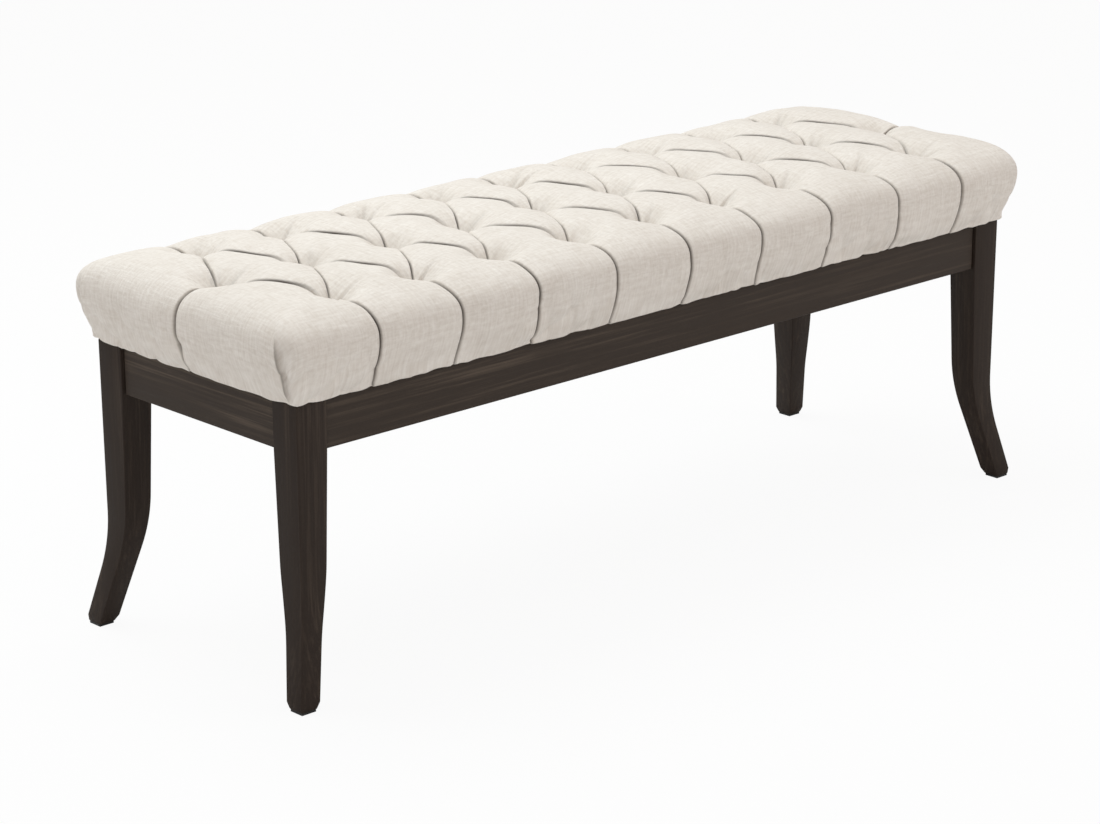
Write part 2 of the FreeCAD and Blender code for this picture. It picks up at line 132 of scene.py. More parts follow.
# Seat cover: cream slub linen over wadding, pulled down by blind tufts in three rows.
# Diagonal folds join the tufts. From each outer tuft a pleat runs over the edge to the hem,
# which is stapled under the board. Each corner is closed by one tuck. Sizes are millimetres.
cover_low, cover_high = (1000 * np.array(corner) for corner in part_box("seat_cover"))
half_length, half_width = cover_high[0], cover_high[1]
hem_height = cover_low[2]
widest_height = hem_height + 60.0
crown_proud = 2.5
crown_rise = cover_high[2] + crown_proud - widest_height
crown_run = np.array([105.0, half_width])
crown_flatness, shoulder_roundness, corner_squareness = 4.2, 2.4, 10.0
foot_inset, foot_round, foot_start, side_bulge = 17.0, 4.0, 0.86, 1.7
tuft_pitch, tuft_row, tuft_stray = 119.1, 120.0, 3.5
tuft_depth, tuft_reach = 30.0, 52.0
fold_reach, cusp_depth, near_depth, far_depth = 52.0, 12.0, 8.0, 11.0
toward_viewer = {True: np.array([-0.896, -0.444]), False: np.array([-0.896, 0.444])}
tuck_offset, tuck_width, tuck_depth = 13.0, 20.0, 4.5
fold_count, panel_count, top_row_count, side_row_count = 52, 44, 40, 34
rng = np.random.default_rng(5)

tufts = {}
for row in (-1, 0, 1):
    tufts[row] = []
    for k in range(10 - abs(row)):
        even_place = np.array([(k - 4.5 + abs(row) / 2) * tuft_pitch, row * tuft_row])
        tufts[row].append(even_place + rng.uniform(-tuft_stray, tuft_stray, 2))


def smooth(value, low, high):
    share = np.clip((value - low) / (high - low), 0, 1)
    return share * share * (3 - 2 * share)


def graded(count, fine=0.25):
    """Shares from 0 to 1 that crowd towards both ends."""
    at = np.linspace(0, 1, count + 1)
    spacing = np.interp(at, [0, 0.2, 0.8, 1], [fine, 1, 1, fine])
    run = np.concatenate([[0], np.cumsum((spacing[1:] + spacing[:-1]) / 2)])
    return run / run[-1]


def crown_share(plan):
    """0 on the seat's flat middle, 1 on its widest outline, with the plan direction of its rise."""
    inside = np.array([half_length, half_width]) - np.abs(plan)
    parts = np.maximum(1 - inside / crown_run, 1e-9)
    share = (parts**corner_squareness).sum(-1, keepdims=True) ** (1 / corner_squareness)
    rise = np.sign(plan) * (parts / share) ** (corner_squareness - 1) / crown_run
    return np.clip(share[..., 0], 0, 1), rise


def crown(plan):
    """Points on the seat's smooth top, and its outward directions, before the tufts pull it in."""
    share, rise = crown_share(plan)
    fall = np.maximum(1 - share**crown_flatness, 1e-7)
    height = widest_height + crown_rise * fall ** (1 / shoulder_roundness)
    steepness = crown_flatness * share ** (crown_flatness - 1) / shoulder_roundness
    steepness = steepness * crown_rise * fall ** (1 / shoulder_roundness - 1)
    out = np.concatenate([rise * steepness[..., None], np.ones_like(height)[..., None]], -1)
    return np.concatenate([plan, height[..., None]], -1), out / np.linalg.norm(out, axis=-1, keepdims=True)


def skirt(foot, outline, outward):
    """Points from a line on the top over the round shoulder to the hem, with their outward directions.

    The third result is how much further the cloth runs than its plan shows.
    """
    dense = 1 - (1 - np.sin(np.linspace(0, math.pi / 2, 260))) ** 1.5
    trial, _ = crown(foot + (outline - foot) * dense[:, None, None])
    run = np.cumsum(np.linalg.norm(np.diff(trial, axis=0, prepend=trial[:1]), axis=-1), 0)
    at = np.stack([np.interp(row_shares, run[:, k] / run[-1, k], dense) for k in range(len(foot))], -1)
    top, top_out = crown(foot + (outline - foot) * at[..., None])
    down = np.interp(side_shares, [0, foot_start, 1], [0, 1, 1])
    roll = np.interp(side_shares, [0, foot_start, 1], [0, 0, 1]) * math.pi / 2
    inset = foot_inset * down**side_bulge + foot_round * (1 - np.cos(roll))
    height = widest_height - (widest_height - hem_height - foot_round) * down - foot_round * np.sin(roll)
    side = np.empty((len(side_shares), len(outline), 3))
    side[..., :2], side[..., 2] = outline - outward * inset[:, None, None], height[:, None]
    side_out = np.empty_like(side)
    side_out[..., :2] = outward * -np.gradient(height)[:, None, None]
    side_out[..., 2] = -np.gradient(inset)[:, None]
    side_out /= np.linalg.norm(side_out, axis=-1, keepdims=True)
    points, out = np.concatenate([top, side]), np.concatenate([top_out, side_out])
    step = np.diff(points, axis=0, prepend=points[:1])
    extra = np.cumsum(np.linalg.norm(step, axis=-1) - np.linalg.norm(step[..., :2], axis=-1), 0)
    return points, out, extra


def round_crease(distance, deep, wide):
    """Depth of a crease between two round cheeks, at a distance from its line."""
    near = np.clip(1 - distance / wide, 0, 1)
    return deep * (1 - np.sqrt(np.maximum(1 - near**2, 0)))


folds = []
for side in (-1, 1):
    for k in range(9):
        folds.append((tufts[0][k], tufts[side][k], side < 0))
        folds.append((tufts[side][k], tufts[0][k + 1], side > 0))
fold_strength = rng.uniform(0.75, 1.15, len(folds))
pleats = [(tuft, np.array([0.0, side])) for side in (-1, 1) for tuft in tufts[side]]
pleats += [(tufts[0][0], np.array([-1.0, 0.0])), (tufts[0][9], np.array([1.0, 0.0]))]
pleat_strength = rng.uniform(0.8, 1.1, len(pleats))
gathers = [
    (tuft, angle, rng.uniform(1.8, 4.6), rng.uniform(26, 54), rng.uniform(1.8, 3.4))
    for row in (-1, 0, 1)
    for tuft in tufts[row]
    for angle in rng.uniform(0, 2 * math.pi, 9)
]


def pull_in(points):
    """How deep the tufts, folds and pleats draw the cover in at each point, and how much shade is
    painted into the cloth's colour there, from 0 to 1.
    """
    x, z, plan = points[..., 0], points[..., 2], points[..., :2]
    squares, broad, slit, lip = (np.zeros_like(x) for _ in range(4))
    # dark is painted shade: it darkens the cloth's colour along folds, pleats, tufts and gathers, where they
    # would lie in shadow
    dark = np.zeros_like(x)
    on_top = smooth(z, widest_height - 8, widest_height + 12)
    # Folds: the nearer pillow of a facing fold laps over the farther one and shades it, and a band of painted
    # shade darkens the farther one's colour beside the line
    for (start, end, facing), strength in zip(folds, fold_strength):
        along = end - start
        length = np.linalg.norm(along)
        share = np.clip(((plan - start) @ along) / length**2, 0, 1)
        offset = plan - start - share[..., None] * along
        away = np.linalg.norm(offset, axis=-1)
        if away.min() > 60:
            continue
        middle = np.sin(math.pi * share)
        near_side = offset @ toward_viewer[facing] > 0.001
        cusp = round_crease(away, cusp_depth, fold_reach)
        gentle = near_depth * np.clip(1 - away / fold_reach, 0, 1) ** 2
        level = np.where(near_side, gentle, round_crease(away, far_depth, fold_reach)) if facing else cusp
        level = cusp + (level - cusp) * smooth(share, 0.05, 0.3) * (1 - smooth(share, 0.7, 0.95))
        squares += (level * on_top) ** 2
        narrow = 1 - smooth(away, 0.4, 1.8)
        gap = (6.5 if facing else 4.5) * narrow * np.clip(middle * 2.2, 0, 1)
        slit = np.maximum(slit, gap * strength * on_top)
        edge = np.exp(-((away / 6.0) ** 2)) * smooth(away, 0.3, 1.8) * middle * on_top
        lip += np.where(near_side, 1.6, -0.6) * edge * strength
        # Painted shade along the fold line, reaching further over the far side of a facing fold
        reach = np.where(near_side, 1.5, 8.0 if facing else 1.9)
        line = (1 - smooth(away / reach, 0.45, 1.0)) * (middle**2.2 if facing else 0.75 * middle**0.5)
        dark = np.maximum(dark, line * strength * on_top)
    # Pleats: deep beside their tuft, a crisp line over the shoulder and down to the hem
    for (tuft, way), strength in zip(pleats, pleat_strength):
        across = np.array([-way[1], way[0]])
        step = plan - tuft
        off = step @ across
        ahead = step @ way
        if np.abs(off).min() > 60 or ahead.max() < -60:
            continue
        reach = (half_width if way[0] == 0 else half_length) - abs(tuft @ way)
        away = np.hypot(off, np.minimum(ahead, 0))
        share = np.clip(ahead / reach, 0, 1) * 0.45
        down_side = 0.45 + 0.55 * (widest_height - z) / (widest_height - hem_height)
        share = np.where(z < widest_height, down_side, share)
        share = np.where(ahead < 0, 0, share)
        deep = np.interp(share, [0, 0.15, 0.4, 0.6, 0.85, 1], [13, 11, 5.5, 3.2, 2.0, 1.2])
        wide = np.interp(share, [0, 0.2, 0.45, 0.7, 1], [50, 46, 34, 26, 20])
        squares += round_crease(away, deep, wide) ** 2
        narrow = (1 - smooth(away, 0.4, 1.5)) * (ahead > 0)
        gap = np.interp(share, [0, 0.1, 0.3, 0.6, 1], [0, 2.5, 4.5, 3.5, 2])
        slit = np.maximum(slit, narrow * strength * gap)
        edge = np.exp(-((away / 7.0) ** 2)) * smooth(away, 0.3, 1.8) * (ahead > 0)
        crisp = np.where(off * (across[0] + across[1]) > 0, 1.3, -0.8)
        lip += crisp * edge * np.interp(share, [0, 0.15, 0.4, 1], [0, 0.8, 1, 0.5])
        # Painted shade along the pleat's line, from its tuft over the shoulder to the hem
        line = (1 - smooth(away, 0.6, 1.7)) * (ahead > 0)
        shade = np.interp(share, [0, 0.12, 0.3, 0.7, 1], [0, 0.7, 1, 0.8, 0.6])
        dark = np.maximum(dark, line * strength * shade)
    # Tufts: a narrow funnel in a wide hollow
    for row in (-1, 0, 1):
        for tuft in tufts[row]:
            away = np.linalg.norm(plan - tuft, axis=-1)
            if away.min() < 60:
                squares += (tuft_depth * np.clip(1 - away / tuft_reach, 0, 1) ** 1.9 * on_top) ** 2
                broad += 2.0 * np.clip(1 - away / 70, 0, 1) ** 2 * on_top
                # Painted shade darkens each tuft's funnel
                dark = np.maximum(dark, 0.16 * np.clip(1 - away / 34, 0, 1) ** 1.3 * on_top)
    # Gathers: short creases that fan out from each tuft
    for tuft, angle, deep, reach, wide in gathers:
        step = plan - tuft
        away = np.linalg.norm(step, axis=-1)
        if away.min() > reach:
            continue
        turn = (np.arctan2(step[..., 1], step[..., 0]) - angle + math.pi) % (2 * math.pi) - math.pi
        off = turn * away
        fade = np.clip(away / 7, 0, 1) * np.clip(1 - away / reach, 0, 1) * (np.abs(turn) < 1.2)
        # Painted shade along each gather
        dark = np.maximum(dark, 0.11 * deep * np.exp(-((off / wide * 1.3) ** 2)) * fade**1.5 * on_top)
        valley, ridge = np.exp(-((off / wide) ** 2)), np.exp(-(((off - 1.9 * wide) / wide) ** 2))
        broad += deep * (valley - 0.55 * ridge) * fade * on_top
    return np.sqrt(squares) + broad + slit - lip, np.clip(dark, 0, 1)


def ripple(points, wavelength, stretch, count=9):
    """Smooth random waves of about one wavelength, from 0 up and down by about 1."""
    value = np.zeros(points.shape[:-1])
    for _ in range(count):
        way = rng.normal(size=3) * stretch
        way *= 2 * math.pi / wavelength / np.linalg.norm(way) * rng.uniform(0.75, 1.3)
        value += np.sin(points @ way + rng.uniform(0, 2 * math.pi))
    return value / math.sqrt(count)


panel_parts = []


def add_panel(points, out, weave, hollow=0.0, shade=0.0, doubled_row=False):
    """Keeps one panel of the cover: a net of points, its outward directions, cloth places and faces.

    A doubled row has twice as many columns as the panel that it joins, so the first row of the net
    skips every other point.
    """
    depth, painted_crease_shade = pull_in(points)
    rows, columns = points.shape[:2]
    number = np.arange(rows * columns).reshape(rows, columns)
    faces = np.stack([number[:-1, :-1], number[:-1, 1:], number[1:, 1:], number[1:, :-1]], -1)
    if doubled_row:
        start, end = number[0, :-1:2], number[0, 2::2]
        under = number[1, :-1:2], number[1, 1::2], number[1, 2::2]
        threes = np.stack([start, under[1], under[0], under[0]], -1)
        fours = np.stack([start, end, under[2], under[1]], -1)
        faces = np.concatenate([faces[1:].reshape(-1, 4), threes, fours])
    faces = faces.reshape(-1, 4)
    middle = number[rows // 2, columns // 2]
    flat, flat_out = points.reshape(-1, 3), out.reshape(-1, 3)
    facing = np.cross(flat[middle + 1] - flat[middle], flat[middle + columns] - flat[middle])
    faces = faces if facing @ flat_out[middle] > 0 else faces[:, ::-1]
    # Painted shade from the pull-in and from a corner tuck, kept for the linen's colour
    painted_crease_shade = np.clip(np.maximum(painted_crease_shade, shade), 0, 1)
    depth = depth + hollow
    panel_parts.append((flat, flat_out, depth.reshape(-1), painted_crease_shade.reshape(-1), weave.reshape(-1, 2), faces))



fold_shares, panel_shares = graded(fold_count), graded(panel_count, 0.22)
row_shares = np.linspace(0, 1, top_row_count + 1)
side_shares = np.linspace(0, 1, side_row_count + 1)[1:]

# Whole diamonds between three rows of tufts
for k in range(9):
    a, b = fold_shares[:, None, None], fold_shares[None, :, None]
    first_side = tufts[0][k] * (1 - b) + tufts[1][k] * b
    second_side = tufts[-1][k] * (1 - b) + tufts[0][k + 1] * b
    plan = first_side * (1 - a) + second_side * a
    add_panel(*crown(plan), plan)

# Half diamonds along the front and back, and the skirts that run from them over the edge to the hem
for side in (-1, 1):
    for k in range(8):
        foot = tufts[side][k] + (tufts[side][k + 1] - tufts[side][k]) * panel_shares[:, None]
        plan = tufts[0][k + 1] + (foot - tufts[0][k + 1]) * fold_shares[:, None, None]
        add_panel(*crown(plan), plan)
        outline = np.stack([foot[:, 0], np.full(len(foot), side * half_width)], -1)
        points, out, extra = skirt(foot, outline, np.tile([0.0, side], (len(foot), 1)))
        add_panel(points, out, points[..., :2] + extra[..., None] * [0, side])

# Corners: from the slanting end fold round the corner to the pleat at the end's middle. A tuck
# beside the corner splits each one into two panels.
tuck_column = 64
turn = np.linspace(0, math.pi / 2, 4000)
for end, side in ((-1, -1), (-1, 1), (1, -1), (1, 1)):
    first, last = tufts[0][0 if end < 0 else 9], tufts[side][0 if end < 0 else 8]
    curve = np.stack([np.cos(turn), np.sin(turn)], -1) ** (2 / corner_squareness) * crown_run
    curve = (np.array([half_length, half_width]) - crown_run + curve) * [end, side]
    curve = np.concatenate([curve[np.abs(curve[:, 0]) > abs(last[0])], [[last[0], side * half_width]]])
    run = np.concatenate([[0], np.cumsum(np.linalg.norm(np.diff(curve, axis=0), axis=-1))])
    tuck = np.interp(math.pi / 4, turn[: len(run) - 1], run[:-1]) - tuck_offset
    tuck_share = tuck / run[-1]
    past_tuck = graded(2 * fold_count - tuck_column)[1:]
    shares = np.concatenate([graded(tuck_column) * tuck_share, tuck_share + past_tuck * (1 - tuck_share)])
    outline = np.stack([np.interp(shares * run[-1], run, curve[:, axis]) for axis in (0, 1)], -1)
    _, outward = crown_share(outline)
    outward /= np.linalg.norm(outward, axis=-1, keepdims=True)
    on_fold = np.interp(np.arange(2 * fold_count + 1) / 2, np.arange(fold_count + 1), fold_shares)
    points, out, extra = skirt(first + (last - first) * on_fold[:, None], outline, outward)
    along = shares * run[-1] - tuck
    open_height = smooth(points[..., 2], hem_height, hem_height + 14) * (1 - smooth(points[..., 2], 402, 428))
    hollow = np.where(
        along > 0,
        tuck_depth * (1 - smooth(along, 1, tuck_width)) * smooth(along, 0, 1.1),
        -1.4 * np.exp(np.minimum(along, 0) / 6) * smooth(-along, 0, 1.0),
    )
    # Painted shade: a dark line along the tuck, and a faint darkening of the hollow beside it
    line = (1 - smooth(np.abs(along - 0.4), 0.1, 0.9)) * 0.8
    shade = np.maximum(line, (along > 0) * 0.1 * (1 - smooth(along, 3, tuck_width)))
    for part, way in ((slice(tuck_column + 1), [end, 0]), (slice(tuck_column, None), [0, side])):
        add_panel(points[:, part], out[:, part], points[:, part, :2] + extra[:, part, None] * way,
                  hollow[part] * open_height[:, part], shade[part] * open_height[:, part], doubled_row=True)

# One net from all the panels. It is moved in by its creases, then made a little uneven all over,
# with pull wrinkles low on the sides.
sizes = np.cumsum([0] + [len(part[0]) for part in panel_parts])
points, out, depth, painted_crease_shade, weave = (np.concatenate([part[k] for part in panel_parts]) for k in range(5))
faces = np.concatenate([part[5] + start for part, start in zip(panel_parts, sizes)])
free = smooth(points[:, 2], hem_height, hem_height + 18)
low_side = smooth(points[:, 2], hem_height - 4, hem_height + 6)
low_side = low_side * (1 - smooth(points[:, 2], hem_height + 25, widest_height + 18))
folds_seen = np.clip(ripple(points, 260, (1, 1, 0.3)) + 0.5, 0.15, 1)
for tilt, spread in ((0.5, 13.0), (-0.35, 17.0)):
    phase = (points[:, 0] + points[:, 1]) / spread + points[:, 2] * tilt / 9.0
    phase = phase + 0.8 * ripple(points, 190, (1, 1, 0.4))
    depth += 3.2 * (1 - np.abs(np.sin(phase))) ** 2 * low_side * folds_seen
depth += 0.35 * ripple(points, 42, (1, 1, 1)) * free + 0.8 * ripple(points, 95, (1, 1, 1)) * free
shaped = points - out * depth[:, None]
shaped += np.stack([ripple(points, 210, (1, 1, 0.3)) for _ in range(3)], -1) * [2.0, 2.0, 0.9] * free[:, None]
shaped[:, 2] += 0.9 * np.abs(ripple(points, 60, (1, 1, 0))) * (1 - free)

seat_mesh = bpy.data.meshes.new("tufted_cover")
seat = bmesh.new()
for point in shaped / 1000:
    seat.verts.new(point)
seat.verts.ensure_lookup_table()
seat.verts.index_update()
# Each point keeps its painted shade, which the linen material reads to darken its colour
painted_shade_layer = seat.verts.layers.float.new("painted_crease_shade")
weave_layer = seat.loops.layers.uv.new("weave")
for vertex, value in zip(seat.verts, painted_crease_shade):
    vertex[painted_shade_layer] = value
for face in faces.tolist():
    made = seat.faces.new([seat.verts[k] for k in dict.fromkeys(face)])
    for loop in made.loops:
        loop[weave_layer].uv = weave[loop.vert.index] / 1000
bmesh.ops.delete(seat, geom=[v for v in seat.verts if not v.link_faces], context="VERTS")
bmesh.ops.remove_doubles(seat, verts=[v for v in seat.verts if v.is_boundary], dist=0.00003)

# The hem folds in under the board, and a lining inside the pad closes the cover
hem_lap_x, hem_lap_y, board_x, board_y = 544.0, 146.0, 573.0, 173.0
hem_thickness, lining_height = 2.5, 398.0
edge = [e for e in seat.edges if e.is_boundary]
for reach_x, reach_y, height in (
    (hem_lap_x, hem_lap_y, hem_height),
    (hem_lap_x, hem_lap_y, hem_height + hem_thickness),
    (board_x, board_y, hem_height + hem_thickness),
    (board_x, board_y, lining_height),
):
    made = bmesh.ops.extrude_edge_only(seat, edges=edge)["geom"]
    edge = [item for item in made if isinstance(item, bmesh.types.BMEdge)]
    for vertex in (item for item in made if isinstance(item, bmesh.types.BMVert)):
        vertex[painted_shade_layer] = 0
        x, y = vertex.co.x * 1000, vertex.co.y * 1000
        if reach_x == board_x:
            x, y = x * board_x / hem_lap_x, y * board_y / hem_lap_y
        vertex.co = Vector((max(-reach_x, min(reach_x, x)), max(-reach_y, min(reach_y, y)), height)) / 1000
bmesh.ops.contextual_create(seat, geom=edge)
bmesh.ops.remove_doubles(seat, verts=seat.verts, dist=0.00001)
bmesh.ops.dissolve_degenerate(seat, edges=seat.edges, dist=0.000005)
seat.to_mesh(seat_mesh)
seat.free()
seat_mesh.shade_smooth()
cover = bpy.data.objects.new("tufted_cover", seat_mesh)
bpy.context.scene.collection.objects.link(cover)


class Wire:
    """One socket of a material. Sums on wires add Math nodes, and node() adds any other kind."""

    def __init__(self, tree, socket=None):
        self.tree, self.socket = tree, socket

    def node(self, kind, settings, inputs, output=0):
        made = self.tree.nodes.new(kind)
        for name, value in settings.items():
            setattr(made, name, value)
        for name, value in inputs.items():
            if isinstance(value, Wire):
                self.tree.links.new(value.socket, made.inputs[name])
            else:
                made.inputs[name].default_value = value
        return Wire(self.tree, made.outputs[output])

    def sum(self, operation, *terms):
        return self.node("ShaderNodeMath", {"operation": operation}, dict(enumerate(terms)))

    def __add__(self, other):
        return self.sum("ADD", self, other)

    __radd__ = __add__

    def __sub__(self, other):
        return self.sum("SUBTRACT", self, other)

    def __mul__(self, other):
        return self.sum("MULTIPLY", self, other)

    def between(self, low, high):
        """0 below low, 1 above high."""
        inputs = {"Value": self, "From Min": low, "From Max": high}
        return self.node("ShaderNodeMapRange", {"interpolation_type": "SMOOTHSTEP"}, inputs)

    def mix(self, first, second):
        """The first colour where this wire is 0, the second where it is 1."""
        return self.node("ShaderNodeMix", {"data_type": "RGBA"}, {0: self, 6: first, 7: second}, 2)

    def surface(self, sockets):
        """The finished surface, from the values and wires of its sockets."""
        shader = self.node("ShaderNodeBsdfPrincipled", {}, sockets)
        end = self.tree.nodes.new("ShaderNodeOutputMaterial")
        self.tree.links.new(shader.socket, end.inputs["Surface"])

    def noise(self, place, stretch, scale=1.0, detail=3.0, roughness=0.5):
        spread = self.node("ShaderNodeVectorMath", {"operation": "MULTIPLY"}, {0: place, 1: stretch})
        inputs = {"Vector": spread, "Scale": scale, "Detail": detail, "Roughness": roughness}
        return self.node("ShaderNodeTexNoise", {}, inputs)


def new_material(name):
    """An empty material, with a wire to build it from."""
    material = bpy.data.materials.new(name)
    material.use_nodes = True
    material.node_tree.nodes.clear()
    return material, Wire(material.node_tree)


thread_pitch = 0.0011
linen, wire = new_material("linen")
cloth = wire.node("ShaderNodeUVMap", {"uv_map": "weave"}, {})
across, along = (wire.node("ShaderNodeSeparateXYZ", {}, {"Vector": cloth}, k) for k in (0, 1))
wander = wire.noise(cloth, (70, 70, 70), 1.0, 2.0) - 0.5
thread = 2 * math.pi / thread_pitch
warp = wire.sum("SINE", (across + wander * 0.0012) * thread)
weft = wire.sum("SINE", (along + wander * 0.0012) * thread)
slub_down = wire.noise(cloth, (340, 38, 1), 1.0, 3.0, 0.6)
slub_across = wire.noise(cloth, (34, 310, 1), 1.0, 3.0, 0.6)
thick_down, thick_across = slub_down.between(0.5, 0.78), slub_across.between(0.5, 0.78)
patches = wire.noise(cloth, (14, 14, 1), 1.0, 3.0)
mottle = wire.noise(cloth, (240, 240, 1), 1.0, 2.0)
tone = (slub_down + slub_across - 1.0) * 1.35 + (mottle - 0.5) * 0.9 + (patches - 0.5) * 0.5 + 0.52
colour = tone.mix((0.735, 0.67, 0.60, 1), (0.915, 0.865, 0.805, 1))
fleck = wire.noise(cloth, (900, 900, 1), 1.0, 1.0).between(0.68, 0.78) * 0.25
colour = fleck.mix(colour, (0.60, 0.53, 0.45, 1))
# Painted shade: the per-point shade value darkens the linen towards a near-black brown in folds, pleats,
# tufts, gathers and tucks
gap = wire.node("ShaderNodeAttribute", {"attribute_name": "painted_crease_shade"}, {}, 2)
colour = gap.mix(colour, (0.05, 0.037, 0.028, 1))
height = warp * weft * 0.25 + thick_down * 0.9 + thick_across * 0.9
bump = wire.node("ShaderNodeBump", {}, {"Strength": 0.6, "Distance": 0.0005, "Height": height})
wire.surface({
    "Base Color": colour, "Roughness": 0.92, "Specular IOR Level": 0.25,
    "Sheen Weight": 0.12, "Sheen Roughness": 0.5, "Normal": bump,
})
seat_mesh.materials.append(linen)
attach(cover, "root")
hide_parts("seat_cover")

# Foam pad: a cut block of pale foam under the cover. It is pressed into the same folds and tufts,
# and stays a wadding's thickness under the linen.
foam_low, foam_high = (1000 * np.array(corner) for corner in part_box("foam_pad"))
foam_skin, foam_step = 9.0, 8.0
foam_x = np.linspace(foam_low[0], foam_high[0], int((foam_high[0] - foam_low[0]) / foam_step))
foam_y = np.linspace(foam_low[1], foam_high[1], int((foam_high[1] - foam_low[1]) / foam_step))
plan = np.stack(np.meshgrid(foam_x, foam_y, indexing="ij"), -1)
top, _ = crown(plan)
pressed, _ = pull_in(top)
top[..., 2] = np.minimum(top[..., 2] - pressed - foam_skin, foam_high[2])
foam_mesh = bpy.data.meshes.new("pressed_foam")
foam = bmesh.new()
foam_net = [[foam.verts.new(point / 1000) for point in row] for row in top]
for row, following in zip(foam_net, foam_net[1:]):
    for k in range(len(row) - 1):
        foam.faces.new((row[k], following[k], following[k + 1], row[k + 1]))
made = bmesh.ops.extrude_edge_only(foam, edges=[e for e in foam.edges if e.is_boundary])["geom"]
for vertex in (item for item in made if isinstance(item, bmesh.types.BMVert)):
    vertex.co.z = foam_low[2] / 1000
bmesh.ops.contextual_create(foam, geom=[item for item in made if isinstance(item, bmesh.types.BMEdge)])
bmesh.ops.recalc_face_normals(foam, faces=foam.faces)
foam.to_mesh(foam_mesh)
foam.free()
pressed_foam = bpy.data.objects.new("pressed_foam", foam_mesh)
bpy.context.scene.collection.objects.link(pressed_foam)
foam_paint, wire = new_material("foam")
place = wire.node("ShaderNodeTexCoord", {}, {}, 3)
cells = wire.node("ShaderNodeTexVoronoi", {}, {"Vector": place, "Scale": 700.0})
yellowing = wire.noise(place, (6, 6, 6), 1.0, 3.0)
colour = yellowing.mix((0.80, 0.72, 0.45, 1), (0.88, 0.83, 0.62, 1))
bump = wire.node("ShaderNodeBump", {}, {"Strength": 0.6, "Distance": 0.0006, "Height": cells})
wire.surface({"Base Color": colour, "Roughness": 0.95, "Normal": bump})
foam_mesh.materials.append(foam_paint)
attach(pressed_foam, "root")
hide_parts("foam_pad")

# Legs and rails: solid hardwood with a very dark stain and brushed grain. The four sabre legs stand
# at the corners, the rails are set into them, and every edge is eased by hand before staining.
edge_ease, ease_steps, sharp_angle, shortest_edge = 0.0016, 3, math.radians(28), 0.004


def eased_piece(node, name):
    """The node's shape with its sharp edges rounded."""
    piece = bmesh.new()
    piece.from_mesh(nodes[node].data)
    bmesh.ops.remove_doubles(piece, verts=piece.verts, dist=1e-6)
    bmesh.ops.dissolve_limit(piece, angle_limit=math.radians(0.5), verts=piece.verts, edges=piece.edges)
    folded = [e for e in piece.edges if len(e.link_faces) == 2 and e.calc_length() > shortest_edge]
    bmesh.ops.bevel(
        piece, geom=[e for e in folded if e.calc_face_angle() > sharp_angle],
        offset=edge_ease, segments=ease_steps, profile=0.5, affect="EDGES", clamp_overlap=True,
    )
    mesh = bpy.data.meshes.new(name)
    piece.to_mesh(mesh)
    piece.free()
    mesh.shade_smooth()
    mesh.set_sharp_from_angle(angle=math.radians(24))
    made = bpy.data.objects.new(name, mesh)
    bpy.context.scene.collection.objects.link(made)
    return made


def stained_wood(name, along, dark, light):
    """Dark stain over brushed grain, in two colours. along is the axis that the grain follows."""
    material, wire = new_material(name)
    place = wire.node("ShaderNodeTexCoord", {}, {}, 3)
    fine = tuple(14 if k == along else 1500 for k in range(3))
    coarse = tuple(5 if k == along else 240 for k in range(3))
    cloud = tuple(3 if k == along else 26 for k in range(3))
    pores = wire.noise(place, fine, 1.0, 4.0, 0.65)
    streaks = wire.noise(place, coarse, 1.0, 5.0, 0.6)
    stain = wire.noise(place, cloud, 1.0, 3.0)
    worn = (streaks.between(0.42, 0.78) * 0.75 + pores.between(0.52, 0.8) * 0.55) * stain.between(0.25, 0.75)
    colour = worn.mix(dark, light)
    rough = 0.5 + streaks * 0.28
    relief = pores * 0.6 + streaks * 0.6
    bump = wire.node("ShaderNodeBump", {}, {"Strength": 0.45, "Distance": 0.0005, "Height": relief})
    wire.surface({"Base Color": colour, "Roughness": rough, "Specular IOR Level": 0.26, "Normal": bump})
    return material


leg_colours = (0.025, 0.0155, 0.0105, 1), (0.085, 0.062, 0.046, 1)
rail_colours = (0.04, 0.028, 0.0205, 1), (0.14, 0.106, 0.08, 1)
upright_wood = stained_wood("stained_wood_z", 2, *leg_colours)
long_wood = stained_wood("stained_wood_x", 0, *rail_colours)
end_wood = stained_wood("stained_wood_y", 1, *rail_colours)
for grain, grained in (
    (upright_wood, ("front_left_leg", "front_right_leg", "back_left_leg", "back_right_leg")),
    (long_wood, ("front_rail", "back_rail")),
    (end_wood, ("left_rail", "right_rail")),
):
    for node in grained:
        piece = eased_piece(node, "stained_" + node)
        piece.data.materials.clear()
        piece.data.materials.append(grain)
        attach(piece, "root")
        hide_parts(node)

# Board, cross rails and corner blocks: raw wood that no one sees once the dust cover is on.
# The board is birch plywood and shows its plies at the edge, the rest is planed beech.
ply_thickness = 0.012 / 9
plywood, wire = new_material("plywood")
place = wire.node("ShaderNodeTexCoord", {}, {}, 3)
height = wire.node("ShaderNodeSeparateXYZ", {}, {"Vector": place}, 2)
layer = wire.sum("SINE", height * (math.pi / ply_thickness)).between(-0.2, 0.2)
figure = wire.noise(place, (7, 95, 7), 1.0, 4.0)
face = figure.mix((0.60, 0.44, 0.26, 1), (0.76, 0.62, 0.42, 1))
upward = wire.node("ShaderNodeNewGeometry", {}, {}, 1)
tilt = wire.sum("ABSOLUTE", wire.node("ShaderNodeSeparateXYZ", {}, {"Vector": upward}, 2))
plies = layer.mix((0.36, 0.24, 0.13, 1), (0.72, 0.57, 0.37, 1))
bump = wire.node("ShaderNodeBump", {}, {"Strength": 0.3, "Distance": 0.0004, "Height": figure})
wire.surface({"Base Color": tilt.between(0.4, 0.6).mix(plies, face), "Roughness": 0.72, "Normal": bump})

